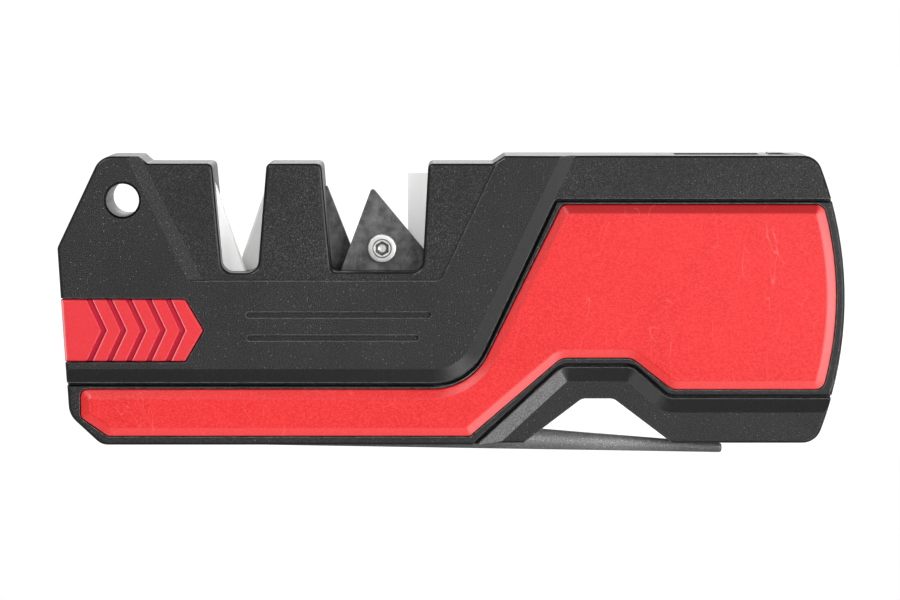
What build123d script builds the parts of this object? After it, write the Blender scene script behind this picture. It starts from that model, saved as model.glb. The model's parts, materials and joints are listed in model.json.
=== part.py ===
from build123d import *
from math import asin, cos, radians, sin
import os

os.makedirs("parts", exist_ok=True)

# Pocket sharpener for knives: two moulded half casings carry a slot with crossed
# ceramic sticks, a slot with crossed carbide inserts, a diamond rod that folds out
# of the lower edge, a fire striker that pulls out of the left end and a whistle.
# Millimetres. X runs along the body, front face towards -Y, slots open upwards (+Z).
# The origin is under the middle of the body, at the height of the rod's tip.

# Body
body_length = 120.0
body_height = 44.2
body_thickness = 19.0
half_thickness = body_thickness / 2
rod_drop = 1.8                # how far the stowed rod's tip hangs below the casing
end_corner_radius = 3.0
ear_radius = 3.0
waist_radius = 1.2
heel_radius = 3.5
foot_radius = 2.5
lip_radius = 0.6
edge_break = 0.5              # rounding along the outer edges
overrun = 1.0                 # every cut that leaves the material runs on by this much
fit_gap = 0.1                 # pocket around a seated piece, each side

# Outer surface, in layers from the outside
level_step = 0.7              # lower level under the raised black fields
bevel_width = 2.0             # slope between the two levels
seam_ledge = 0.15             # flat strip between the slope's foot and the seam
frame_thickness = 2.2
seam_gap = 0.45               # groove between casing and grip frame
seam_radius = 8.3
seam_corner_radius = 0.9
arch_seam_radius = 2.6
frame_edge_break = 0.25
panel_seat = 1.4              # depth of the grip panel's bed in the frame
panel_gap = 0.15
panel_rim = 1.4
panel_rim_drop = 0.6
panel_bend_radius = 9.3
panel_end_radius = 1.8
panel_corner_radius = 1.2
panel_crest_radius = 0.5      # the same corners at the top of the rim
corner_reach = 3.0            # a rounded corner lies this near its corner point
zone_depth = 0.35             # shallow field around the slots
zone_radius = 1.2
zone_slope = 2.3              # width of the bank at the field's left border
finger_groove_depth = 0.6

# Lanyard hole
lanyard_radius = 2.5
lanyard_chamfer = 0.4

# Slots
first_slot_width = 8.64
second_slot_width = 16.56
slot_corner_radius = 1.8
slot_small_radius = 1.0
slot_large_radius = 1.7
mouth_radius = 0.8            # upper corners beside a slot
arch_radius = 1.7             # finger arch in the lower edge

# Ceramic sticks
crossing_pitch = 16.8         # from the ceramic crossing to the carbide one
stick_side = 3.2
stick_up = 12.8               # along the working edge, above the crossing
stick_down = 4.0
stick_lean = 19.0             # degrees from upright
layer_gap = 0.6               # between the front and the rear stick
stick_edge_break = 0.25

# Carbide inserts, their screws and the plate that holds them
insert_side = 16.5
insert_nose = 0.4
insert_thickness = 2.5
front_insert_turn = 9.5       # degrees that an insert's apex leans over the blade gap
rear_insert_turn = 8.5
front_insert_spread = 4.85    # from the blade gap's middle to each screw
rear_insert_spread = 5.25
rear_insert_rise = 0.45       # how much higher the rear screw sits
insert_hole_radius = 1.4
plate_thickness = 1.5
plate_lobe_radius = 3.4
plate_bar_height = 3.2
plate_bar_drop = 0.6          # the bar lies this far below the slot's floor
plate_neck = 5.0
insert_screw_radius = 1.25
insert_head_radius = 2.2
insert_head_height = 1.6
hex_across = 2.0
hex_depth = 1.0
thread_gap = 0.02

# Pale guide block against the second slot's right wall
guide_width = 3.8
guide_height = 16.8
guide_thickness = 3.2
guide_gap = 0.05              # from the split plane
guide_edge_break = 0.25

# Fire striker
notch_radius = 0.6
notch_gap = 0.15
handle_inset = 0.1            # the handle's faces lie just under the casing's
handle_edge_break = 0.25
striker_radius = 2.5
striker_length = 61.0
striker_embed = 12.0
striker_gap = 0.15
striker_chamfer = 0.4
chevron_count = 5
chevron_pitch = 3.0
chevron_first = 7.0           # from the handle's outer end to the first point
chevron_run = 2.3             # how far an arm trails behind its point
chevron_width = 0.85
chevron_depth = 0.5

# Diamond rod, its hub and pivot
rod_length = 93.3             # pivot to tip
rod_radius = 3.0
rod_tip_radius = 0.7
rod_tip_round = 0.4
rod_shoulder = 10.0           # pivot to the hub's mouth
shank_length = 11.8           # round part between the hub's mouth and the taper
tang_radius = 1.8
tang_start = 4.0
hub_radius = 3.3
collar_radius = 2.75
pivot_height = 3.4            # above the casing's lower edge
pivot_inset = 8.5             # from the body's left end
rod_gap = 0.35
washer_thickness = 0.55
washer_radius = 3.0
side_play = 0.05
pivot_radius = 1.5
pivot_play = 0.05
pivot_thread_radius = 1.1
pivot_thread_length = 2.4
pivot_head_radius = 2.5
channel_width = 6.8

# Casing screws
screw_radius = 1.1
screw_pilot_radius = 1.12
screw_clear_radius = 1.25
screw_head_radius = 2.0
screw_head_height = 1.5
screw_length = 10.0
screw_seat = 4.9              # head seat, behind the split plane
head_gap = 0.2
boss_radius = 2.4
drive_width = 0.6
drive_length = 2.4
drive_depth = 0.7

# Hollow under the large grip panel
hollow_wall = 1.4
rib_thickness = 1.2
hollow_radius = 1.5

# Whistle
whistle_width = 10.8
whistle_depth = 7.7
whistle_chamber_length = 15.6
mouthpiece_length = 12.8
whistle_wall = 2.9
whistle_side_wall = 1.2
whistle_floor = 1.5
whistle_gap = 0.05
wind_height = 1.2
wind_width = 6.4
wind_roof = 1.1
lip_rise = 0.25
lip_crest = 1.8
lip_length = 4.2
lip_inset = 1.3
labium_chamfer = 0.3

# Outlines, as shares of the body's length (from the left end) and of its height
silhouette_shares = [
    (0.963, 1.000), (0.568, 1.000), (0.553, 0.973), (0.115, 0.973), (0.104, 0.998),
    (0.055, 0.998), (0.000, 0.682), (0.014, 0.103), (0.055, 0.000), (0.530, 0.000),
    (0.549, 0.008), (0.963, 0.008),
]
end_middle_share = (1.000, 0.504)
seam_shares = [(-0.05, 0.215), (0.522, 0.215)]
seam_corner_share = (0.632, 0.851)
seam_top_share = (0.686, 1.157)
beyond_share = 1.10
below_share = -0.03
arch_seam_shares = [(0.775, 0.162), (0.730, 0.270), (0.640, 0.270), (0.520, -0.03)]
panel_shares = [
    (0.973, 0.834), (0.640, 0.834), (0.524, 0.196), (0.0275, 0.196), (0.0275, 0.094),
    (0.0625, 0.028), (0.524, 0.028), (0.640, 0.298), (0.729, 0.298), (0.780, 0.189),
    (0.973, 0.189),
]
panel_end_share = (0.990, 0.512)
zone_shares = [(0.100, 1.03), (0.185, 0.567), (0.487, 0.567), (0.568, 1.03)]
arch_shares = [(0.562, -0.052), (0.666, 0.162), (0.706, 0.162), (0.810, -0.052)]
notch_shares = [(-0.05, 0.508), (0.163, 0.508), (0.187, 0.397), (0.163, 0.286), (-0.05, 0.286)]
finger_groove_shares = [((0.239, 0.475), 0.450), ((0.240, 0.459), 0.3705)]
finger_groove_height = 0.96
hollow_shares = [
    (0.685, 0.772), (0.917, 0.772), (0.957, 0.503), (0.945, 0.245), (0.803, 0.245),
    (0.752, 0.348), (0.631, 0.348), (0.615, 0.400),
]
rib_share = 0.800
lanyard_share = (0.083, 0.846)
screw_shares = [(0.115, 0.717), (0.555, 0.723), (0.923, 0.634), (0.930, 0.089), (0.375, 0.145)]
ceramic_height_share = 0.640
carbide_crossing_share = (0.3713, 0.675)

# Slot outlines, as shares of the slot's width (from its crossing) and of the body's height
first_slot_shares = [(-0.504, 1.02), (-0.310, 0.596), (0.315, 0.596), (0.496, 1.02)]
second_slot_shares = [(-0.273, 1.02), (-0.173, 0.599), (0.667, 0.599), (0.727, 1.02)]
guide_foot_share = (0.529, 0.555)

# Sizes that follow
front, rear = 1, -1
lower_level = half_thickness - level_step
frame_bed = lower_level - frame_thickness
panel_bed = lower_level - panel_seat
hollow_depth = frame_bed - hollow_wall
channel_half = channel_width / 2
hub_half = channel_half - washer_thickness - 2 * side_play
beyond = body_length / 2 + overrun
handle_half = half_thickness - handle_inset
insert_radius = insert_side / 2 / cos(radians(30))


def place(share):
    """Turn a pair of shares into X and Z on the body."""
    across, up = share
    return (across * body_length - body_length / 2, rod_drop + up * body_height)


def places(shares):
    return [place(share) for share in shares]


def outline(points, radii, mode=Mode.ADD):
    """Fill a closed outline whose corners are rounded by the given radii."""
    with BuildLine() as edge:
        FilletPolyline(*points, radius=radii, close=True)
    make_face(edge.edges(), mode=mode)


def bowed_outline(points, radii, bow, end_radius):
    """Fill an outline that closes with an arc at its right end, from one rounded corner to the other."""
    with BuildLine() as edge:
        FilletPolyline(*points, radius=radii)
        ThreePointArc(points[-1], bow, points[0])
        fillet(edge.vertices().sort_by(Axis.X)[-2:], end_radius)
    make_face(edge.edges())


def silhouette():
    radii = [lip_radius, lip_radius, lip_radius, lip_radius, ear_radius, waist_radius,
             heel_radius, foot_radius, 0, 0]
    bowed_outline(places(silhouette_shares), radii, place(end_middle_share), end_corner_radius)


def panel_outline(corner=0):
    """The grip panel's outline; its small corners are square or take the given radius."""
    radii = [corner, panel_bend_radius, corner, corner, corner, corner,
             arch_seam_radius, arch_seam_radius, arch_seam_radius]
    bowed_outline(places(panel_shares), radii, place(panel_end_share), panel_end_radius)


def inset_panel(sketch, inset, corner):
    """Fill the panel's outline drawn inwards, with its small corners rounded anew."""
    panel_outline()
    offset(amount=-inset, kind=Kind.INTERSECTION)
    spots = [Vector(*place(panel_shares[i])) for i in (1, 3, 4, 5, 6)]
    fillet([point for point in sketch.vertices()
            if min((Vector(point.X, point.Y) - spot).length for spot in spots) < corner_reach],
           corner)


arch_seam = places([(beyond_share, arch_seam_shares[0][1])] + arch_seam_shares)
arch_seam_radii = [0, arch_seam_radius, arch_seam_radius, arch_seam_radius, 0]
lower_left = place((seam_shares[0][0], below_share))


def lower_field():
    """Everything right of the long seam and above the arch, which lies on the lower level."""
    top = [place(seam_top_share), place((beyond_share, seam_top_share[1]))]
    outline(places(seam_shares) + top + arch_seam + [lower_left],
            [0, seam_radius, 0, 0] + arch_seam_radii + [0])


def frame_field():
    """The part of the lower field that the grip frame covers."""
    top = [place(seam_corner_share), place((beyond_share, seam_corner_share[1]))]
    outline(places(seam_shares) + top + arch_seam + [lower_left],
            [0, seam_radius, seam_corner_radius, 0] + arch_seam_radii + [0])


carbide_x, carbide_z = place(carbide_crossing_share)
crossing_x, crossing_z = carbide_x - crossing_pitch, place((0, ceramic_height_share))[1]


def beside(middle, width, share):
    """Turn a share of a slot's width and of the body's height into X and Z."""
    across, up = share
    return (middle + across * width, place((0, up))[1])


first_slot_points = [beside(crossing_x, first_slot_width, share) for share in first_slot_shares]
second_slot_points = [beside(carbide_x, second_slot_width, share) for share in second_slot_shares]
guide_x, guide_z = beside(carbide_x, second_slot_width, guide_foot_share)


def first_slot(mode=Mode.ADD):
    outline(first_slot_points, [0, slot_corner_radius, slot_corner_radius, 0], mode)


def second_slot(mode=Mode.ADD):
    outline(second_slot_points, [0, slot_small_radius, slot_large_radius, 0], mode)


def zone_field(slope=0):
    """The shallow field's outline, its left side moved outwards by the slope."""
    points = places(zone_shares)
    left = [(x - slope, z) for x, z in points[:2]]
    outline(left + points[2:], [0, zone_radius, zone_radius, 0])


# Ceramic sticks lean against each other in two layers: the front one to the left.


def stick_section(side, gap=0):
    """A stick's outline: its working edge runs through the crossing."""
    lean = radians(stick_lean) * side
    along = Vector(-sin(lean), cos(lean))
    across = Vector(-cos(lean), -sin(lean)) * side
    crossing = Vector(crossing_x, crossing_z)
    foot = crossing - along * (stick_down + gap) - across * gap
    head = crossing + along * (stick_up + gap) - across * gap
    width = across * (stick_side + 2 * gap)
    outline([(p.X, p.Y) for p in (foot, head, head + width, foot + width)], [0, 0, 0, 0])


def insert_centre(side):
    if side == front:
        return (carbide_x + front_insert_spread, carbide_z)
    return (carbide_x - rear_insert_spread, carbide_z + rear_insert_rise)


def insert_section(side, gap=0):
    """A triangular insert's outline; the front one stands right of the blade gap."""
    reach = insert_radius + gap / sin(radians(30))
    lean = front_insert_turn if side == front else -rear_insert_turn
    turns = [radians(turn + lean) for turn in (90, 210, 330)]
    x, z = insert_centre(side)
    outline([(x + reach * cos(turn), z + reach * sin(turn)) for turn in turns], [insert_nose] * 3)


def plate_section(gap=0):
    """The U-shaped plate between the inserts, hidden from outside."""
    slot_floor = second_slot_points[1][1]
    bar_top = slot_floor - plate_bar_drop + gap
    bar_low = bar_top - plate_bar_height - 2 * gap
    reach = plate_lobe_radius + gap
    lobes = [insert_centre(front), insert_centre(rear)]
    for x, z in lobes[1:]:
        with Locations((x, z)):
            Circle(reach)
        with Locations((x, (z + bar_low) / 2)):
            Rectangle(plate_neck + 2 * gap, z - bar_low)
    if not gap:
        second_slot(Mode.SUBTRACT)
    x, z = lobes[0]
    with Locations((x, z)):
        Circle(reach)
    with Locations((x, (z + bar_low) / 2)):
        Rectangle(plate_neck + 2 * gap, z - bar_low)
    ends = [insert_centre(front)[0] + reach, insert_centre(rear)[0] - reach]
    with Locations((sum(ends) / 2, (bar_top + bar_low) / 2)):
        Rectangle(ends[0] - ends[1], bar_top - bar_low)


# The rod lies in a plane frame of its own: origin on the pivot, X towards the tip.
pivot = (pivot_inset - body_length / 2, pivot_height + rod_drop)
rod_tilt = asin((pivot[1] - rod_tip_radius) / (rod_length - rod_tip_round))
rod_plane = Plane(origin=(pivot[0], 0, pivot[1]), x_dir=(cos(rod_tilt), 0, -sin(rod_tilt)),
                  z_dir=(0, -1, 0))
rod_axis = Axis((pivot[0], 0, pivot[1]), (cos(rod_tilt), 0, -sin(rod_tilt)))
taper_start = rod_shoulder + shank_length
casing_top = rod_drop + body_height
whistle_floor_z = casing_top - whistle_depth
whistle_end = body_length / 2 - mouthpiece_length
whistle_start = whistle_end - whistle_chamber_length
notch = places(notch_shares)
handle_middle_z = place(notch_shares[2])[1]
striker_root_x = notch[2][0] - striker_embed
insert_head_seat = plate_thickness / 2 + insert_thickness
guide_middle = (guide_x + guide_width / 2, guide_z + guide_height / 2)
screw_places = places(screw_shares)


def outer_face(part, side):
    return part.faces().sort_by(Axis.Y)[0 if side == front else -1]


# The body up to its lower level, front and rear, with its outer edges rounded
low_body = {}
for side in (front, rear):
    with BuildPart() as level:
        with BuildSketch(Plane.XZ):
            silhouette()
        extrude(amount=side * lower_level)
        fillet(outer_face(level, side).edges(), edge_break)
    low_body[side] = level.part

# The shallow field around the slots, with all its outer edges rounded
slot_field = {}
for side in (front, rear):
    with BuildPart() as level:
        with BuildSketch(Plane.XZ) as slotted:
            silhouette()
            first_slot(Mode.SUBTRACT)
            second_slot(Mode.SUBTRACT)
            mouths = [point for point in slotted.vertices()
                      if crossing_x - first_slot_width < point.X < carbide_x + second_slot_width
                      and point.Y > crossing_z + stick_down]
            fillet(mouths, mouth_radius)
        extrude(amount=side * (half_thickness - zone_depth))
        fillet(outer_face(level, side).edges(), edge_break)
        with BuildSketch(Plane.XZ):
            zone_field()
        extrude(amount=side * half_thickness, mode=Mode.INTERSECT)
    slot_field[side] = level.part

# Half casings
for side, name in ((front, "front"), (rear, "rear")):
    with BuildPart() as casing:
        with BuildSketch(Plane.XZ):
            silhouette()
        extrude(amount=side * half_thickness)
        fillet(outer_face(casing, side).edges(), edge_break)
        # Step down to the lower level, with a sloping bank along the seams.
        with BuildSketch(Plane.XZ):
            lower_field()
            offset(amount=seam_ledge, kind=Kind.INTERSECTION)
        extrude(amount=side * lower_level, mode=Mode.SUBTRACT)
        with BuildSketch(Plane.XZ.offset(side * lower_level)):
            lower_field()
            offset(amount=seam_ledge, kind=Kind.INTERSECTION)
        with BuildSketch(Plane.XZ.offset(side * half_thickness)):
            lower_field()
            offset(amount=seam_ledge + bevel_width, kind=Kind.INTERSECTION)
        loft(ruled=True, mode=Mode.SUBTRACT)
        add(low_body[side])
        with BuildSketch(Plane.XZ.offset(side * half_thickness)):
            frame_field()
        extrude(amount=-side * (half_thickness - frame_bed), mode=Mode.SUBTRACT)
        with BuildSketch(Plane.XZ):
            zone_field()
        extrude(amount=side * (half_thickness + overrun), mode=Mode.SUBTRACT)
        add(slot_field[side])
        with BuildSketch(Plane.XZ.offset(side * (half_thickness - zone_depth))):
            zone_field()
        with BuildSketch(Plane.XZ.offset(side * half_thickness)):
            zone_field(zone_slope)
        loft(ruled=True, mode=Mode.SUBTRACT)
        # Two finger grooves under the slots.
        with BuildSketch(Plane.XZ.offset(side * half_thickness)):
            for (start, end), up in finger_groove_shares:
                low, high = place((start, up)), place((end, up))
                with Locations(((low[0] + high[0]) / 2, low[1])):
                    SlotOverall(high[0] - low[0], finger_groove_height)
        extrude(amount=-side * finger_groove_depth, mode=Mode.SUBTRACT)
        # Finger arch, striker notch and lanyard hole go right through.
        with BuildSketch(Plane.XZ):
            outline(places(arch_shares), [0, arch_radius, arch_radius, 0])
            outline(notch, [0, notch_radius, notch_radius, notch_radius, 0])
            with Locations(place(lanyard_share)):
                Circle(lanyard_radius)
        extrude(amount=side * (half_thickness + overrun), mode=Mode.SUBTRACT)
        with BuildSketch(Plane.XZ.offset(side * half_thickness)):
            with Locations(place(lanyard_share)):
                Circle(lanyard_radius + lanyard_chamfer)
        extrude(amount=-side * lanyard_chamfer, taper=45, mode=Mode.SUBTRACT)
        # Beds for the stick, the insert and its screw head, the holding plate.
        with BuildSketch(Plane.XZ):
            stick_section(side, fit_gap)
        extrude(amount=side * (layer_gap / 2 + stick_side + fit_gap), mode=Mode.SUBTRACT)
        with BuildSketch(Plane.XZ):
            insert_section(side, fit_gap)
        extrude(amount=side * (insert_head_seat + fit_gap), mode=Mode.SUBTRACT)
        with BuildSketch(Plane.XZ):
            with Locations(insert_centre(side)):
                Circle(insert_head_radius + head_gap)
        extrude(amount=side * (insert_head_seat + insert_head_height + head_gap),
                mode=Mode.SUBTRACT)
        with BuildSketch(Plane.XZ):
            plate_section(fit_gap)
        extrude(amount=side * (plate_thickness / 2 + fit_gap), mode=Mode.SUBTRACT)
        # Channel of the diamond rod and room for its hub.
        with BuildSketch(rod_plane):
            back, tip = -pivot_inset - overrun, rod_length + overrun
            roof, tip_roof = rod_radius + rod_gap, rod_tip_radius + rod_gap
            low = -pivot_height - overrun
            outline([(back, roof), (taper_start, roof), (tip, tip_roof), (tip, low), (back, low)],
                    [0, 0, 0, 0, 0])
            Circle(hub_radius + rod_gap)
        extrude(amount=side * channel_half, mode=Mode.SUBTRACT)
        # Bore of the striker.
        with BuildSketch(Plane.YZ.offset(striker_root_x)):
            with Locations((0, handle_middle_z)):
                Circle(striker_radius + striker_gap)
        extrude(amount=striker_length + striker_gap, mode=Mode.SUBTRACT)
        # Whistle pocket, open at the top and at the right end.
        with BuildSketch(Plane.XZ):
            left, low = whistle_start - whistle_gap, whistle_floor_z - whistle_gap
            high = casing_top + overrun
            outline([(left, low), (left, high), (beyond, high), (beyond, low)], [0, 0, 0, 0])
        extrude(amount=side * (whistle_width / 2 + whistle_gap), mode=Mode.SUBTRACT)
        # Hollow with a rib and a screw boss.
        with BuildSketch(Plane.XZ):
            outline(places(hollow_shares), [hollow_radius] * len(hollow_shares))
            with Locations(place((rib_share, hollow_shares[0][1] / 2))):
                Rectangle(rib_thickness, body_height, mode=Mode.SUBTRACT)
            with Locations(place(screw_shares[2])):
                Circle(boss_radius, mode=Mode.SUBTRACT)
        extrude(amount=side * hollow_depth, mode=Mode.SUBTRACT)
        # Screw holes: pilots in the front half, seats in the rear half.
        if side == front:
            with BuildSketch(Plane.XZ):
                with Locations(*screw_places):
                    Circle(screw_pilot_radius)
            extrude(amount=screw_length - screw_seat + fit_gap, mode=Mode.SUBTRACT)
            with BuildSketch(Plane.XZ):
                with Locations(pivot):
                    Circle(pivot_thread_radius + thread_gap)
            extrude(amount=channel_half + pivot_thread_length + fit_gap, mode=Mode.SUBTRACT)
        else:
            with BuildSketch(Plane.XZ):
                with Locations(*screw_places):
                    Circle(screw_clear_radius)
                with Locations(pivot):
                    Circle(pivot_radius + thread_gap)
            extrude(amount=-half_thickness, mode=Mode.SUBTRACT)
            with BuildSketch(Plane.XZ.offset(-screw_seat)):
                with Locations(*screw_places):
                    Circle(screw_head_radius + head_gap)
                with Locations(pivot):
                    Circle(pivot_head_radius + head_gap)
            extrude(amount=-half_thickness, mode=Mode.SUBTRACT)
            with BuildSketch(Plane.XZ):
                with Locations(guide_middle):
                    Rectangle(guide_width + 2 * fit_gap, guide_height + 2 * fit_gap)
            extrude(amount=-(guide_thickness + fit_gap), mode=Mode.SUBTRACT)
    casing.part.label = name + "_casing"
    export_step(casing.part, "parts/" + name + "_casing.step")

# Grip frames: black covers that lie in the casings' lower level and hold the panels
for side, name in ((front, "front"), (rear, "rear")):
    with BuildPart() as frame:
        with BuildSketch(Plane.XZ.offset(side * frame_bed)):
            frame_field()
            offset(amount=-seam_gap, kind=Kind.INTERSECTION)
        extrude(amount=side * frame_thickness)
        fillet(outer_face(frame, side).edges(), frame_edge_break)
        add(low_body[side], mode=Mode.INTERSECT)
        with BuildSketch(Plane.XZ.offset(side * lower_level)):
            panel_outline(panel_corner_radius)
        extrude(amount=-side * panel_seat, mode=Mode.SUBTRACT)
    frame.part.label = name + "_grip_frame"
    export_step(frame.part, "parts/" + name + "_grip_frame.step")

# Grip panels: soft red inlays with a sloping rim
for side, name in ((front, "front"), (rear, "rear")):
    with BuildPart() as panel:
        rim_start = half_thickness - panel_rim_drop
        with BuildSketch(Plane.XZ.offset(side * panel_bed)) as foot:
            inset_panel(foot, panel_gap, panel_corner_radius - panel_gap)
        extrude(amount=side * (rim_start - panel_bed))
        with BuildSketch(Plane.XZ.offset(side * rim_start)) as rim:
            inset_panel(rim, panel_gap, panel_corner_radius - panel_gap)
        with BuildSketch(Plane.XZ.offset(side * half_thickness)) as crest:
            inset_panel(crest, panel_gap + panel_rim, panel_crest_radius)
        loft(ruled=True)
    panel.part.label = name + "_grip_panel"
    export_step(panel.part, "parts/" + name + "_grip_panel.step")

# Ceramic sticks
for side, name in ((front, "front"), (rear, "rear")):
    with BuildPart() as stick:
        with BuildSketch(Plane.XZ.offset(side * layer_gap / 2)):
            stick_section(side)
        extrude(amount=side * stick_side)
        long_edges = stick.edges().sort_by(SortBy.LENGTH)[-4:]
        chamfer(long_edges, stick_edge_break)
    stick.part.label = name + "_ceramic_stick"
    export_step(stick.part, "parts/" + name + "_ceramic_stick.step")

# Carbide inserts
for side, name in ((front, "front"), (rear, "rear")):
    with BuildPart() as insert:
        with BuildSketch(Plane.XZ.offset(side * plate_thickness / 2)):
            insert_section(side)
            with Locations(insert_centre(side)):
                Circle(insert_hole_radius, mode=Mode.SUBTRACT)
        extrude(amount=side * insert_thickness)
    insert.part.label = name + "_carbide_insert"
    export_step(insert.part, "parts/" + name + "_carbide_insert.step")

# Plate that holds both inserts
with BuildPart() as holder:
    with BuildSketch(Plane.XZ):
        plate_section()
        with Locations(insert_centre(front), insert_centre(rear)):
            Circle(insert_screw_radius + thread_gap, mode=Mode.SUBTRACT)
    extrude(amount=plate_thickness / 2, both=True)
holder.part.label = "carbide_holder"
export_step(holder.part, "parts/carbide_holder.step")

# Socket head screws of the inserts, one from each side
with BuildPart() as insert_screws:
    for side in (front, rear):
        with BuildSketch(Plane.XZ.offset(side * insert_head_seat)):
            with Locations(insert_centre(side)):
                Circle(insert_head_radius)
        extrude(amount=side * insert_head_height)
        with BuildSketch(Plane.XZ.offset(side * insert_head_seat)):
            with Locations(insert_centre(side)):
                Circle(insert_screw_radius)
        extrude(amount=-side * (insert_thickness + plate_thickness))
        with BuildSketch(Plane.XZ.offset(side * (insert_head_seat + insert_head_height))):
            with Locations(insert_centre(side)):
                RegularPolygon(radius=hex_across / 2, side_count=6, major_radius=False)
        extrude(amount=-side * hex_depth, mode=Mode.SUBTRACT)
insert_screws.part.label = "carbide_screws"
export_step(insert_screws.part, "parts/carbide_screws.step")

# Guide block
with BuildPart() as guide:
    with BuildSketch(Plane.XZ.offset(-guide_gap)):
        with Locations(guide_middle):
            Rectangle(guide_width, guide_height)
    extrude(amount=-(guide_thickness - guide_gap))
    chamfer(guide.edges().filter_by(Axis.Z), guide_edge_break)
guide.part.label = "guide_block"
export_step(guide.part, "parts/guide_block.step")

# Handle of the fire striker
with BuildPart() as handle:
    with BuildSketch(Plane.XZ):
        outline(notch, [0, notch_radius, notch_radius, notch_radius, 0])
        offset(amount=-notch_gap, kind=Kind.INTERSECTION)
        with BuildSketch(mode=Mode.INTERSECT):
            silhouette()
    extrude(amount=handle_half, both=True)
    ends = handle.faces().sort_by(Axis.Y)
    chamfer(ends[0].edges() + ends[-1].edges(), handle_edge_break)
    handle_left = handle.part.bounding_box().min.X
    half = (notch[1][1] - notch[3][1]) / 2
    arm, wide, z = chevron_run, chevron_width, handle_middle_z
    for side in (front, rear):
        with BuildSketch(Plane.XZ.offset(side * handle_half)):
            for i in range(chevron_count):
                x = handle_left + chevron_first + i * chevron_pitch
                outline([(x, z), (x - arm, z + half), (x - arm - wide, z + half),
                         (x - wide, z), (x - arm - wide, z - half), (x - arm, z - half)],
                        [0, 0, 0, 0, 0, 0])
        extrude(amount=-side * chevron_depth, mode=Mode.SUBTRACT)
    with BuildSketch(Plane.YZ.offset(striker_root_x)):
        with Locations((0, handle_middle_z)):
            Circle(striker_radius + thread_gap)
    extrude(amount=striker_length, mode=Mode.SUBTRACT)
handle.part.label = "striker_handle"
export_step(handle.part, "parts/striker_handle.step")

# Ferrocerium rod
with BuildPart() as striker:
    with BuildSketch(Plane.YZ.offset(striker_root_x)):
        with Locations((0, handle_middle_z)):
            Circle(striker_radius)
    extrude(amount=striker_length)
    chamfer(striker.faces().sort_by(Axis.X)[-1].edges(), striker_chamfer)
striker.part.label = "striker_rod"
export_step(striker.part, "parts/striker_rod.step")

# Diamond rod: a tang, a round shank and a long taper with a rounded tip
with BuildPart() as rod:
    with BuildSketch(rod_plane):
        outline([(rod_length, 0), (tang_start, 0), (tang_start, tang_radius),
                 (rod_shoulder, tang_radius), (rod_shoulder, rod_radius),
                 (taper_start, rod_radius), (rod_length, rod_tip_radius)],
                [0, 0, 0, 0, 0, 0, rod_tip_round])
    revolve(axis=rod_axis)
rod.part.label = "diamond_rod"
export_step(rod.part, "parts/diamond_rod.step")

# Hub that the rod turns on
with BuildPart() as hub:
    with BuildSketch(rod_plane):
        Circle(hub_radius)
    extrude(amount=hub_half, both=True)
    collar_plane = Plane(origin=rod_plane.origin, z_dir=rod_plane.x_dir)
    with BuildSketch(collar_plane):
        Circle(collar_radius)
    extrude(amount=rod_shoulder)
    with BuildSketch(collar_plane.offset(tang_start)):
        Circle(tang_radius + thread_gap)
    extrude(amount=rod_shoulder, mode=Mode.SUBTRACT)
    with BuildSketch(rod_plane):
        Circle(pivot_radius + pivot_play)
    extrude(amount=channel_width, both=True, mode=Mode.SUBTRACT)
hub.part.label = "rod_hub"
export_step(hub.part, "parts/rod_hub.step")

# Washers on both sides of the hub
with BuildPart() as washers:
    for side in (front, rear):
        with BuildSketch(Plane.XZ.offset(side * (hub_half + side_play))):
            with Locations(pivot):
                Circle(washer_radius)
                Circle(pivot_radius + pivot_play, mode=Mode.SUBTRACT)
        extrude(amount=side * washer_thickness)
washers.part.label = "rod_washers"
export_step(washers.part, "parts/rod_washers.step")

# Pivot screw: its plain shoulder carries the hub, its end bites in the front half
with BuildPart() as pivot_screw:
    with BuildSketch(Plane.XZ.offset(-screw_seat)):
        with Locations(pivot):
            Circle(pivot_head_radius)
    extrude(amount=-screw_head_height)
    with BuildSketch(Plane.XZ.offset(-screw_seat)):
        with Locations(pivot):
            Circle(pivot_radius)
    extrude(amount=screw_seat + channel_half)
    with BuildSketch(Plane.XZ.offset(channel_half)):
        with Locations(pivot):
            Circle(pivot_thread_radius)
    extrude(amount=pivot_thread_length)
    with BuildSketch(Plane.XZ.offset(-screw_seat - screw_head_height)):
        with Locations(pivot):
            Rectangle(drive_length, drive_width)
            Rectangle(drive_width, drive_length)
    extrude(amount=drive_depth, mode=Mode.SUBTRACT)
pivot_screw.part.label = "rod_pivot_screw"
export_step(pivot_screw.part, "parts/rod_pivot_screw.step")

# Casing screws, driven from the rear
with BuildPart() as casing_screws:
    with BuildSketch(Plane.XZ.offset(-screw_seat)):
        with Locations(*screw_places):
            Circle(screw_head_radius)
    extrude(amount=-screw_head_height)
    with BuildSketch(Plane.XZ.offset(-screw_seat)):
        with Locations(*screw_places):
            Circle(screw_radius)
    extrude(amount=screw_length)
    with BuildSketch(Plane.XZ.offset(-screw_seat - screw_head_height)):
        with Locations(*screw_places):
            Rectangle(drive_length, drive_width)
            Rectangle(drive_width, drive_length)
    extrude(amount=drive_depth, mode=Mode.SUBTRACT)
casing_screws.part.label = "casing_screws"
export_step(casing_screws.part, "parts/casing_screws.step")

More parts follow.
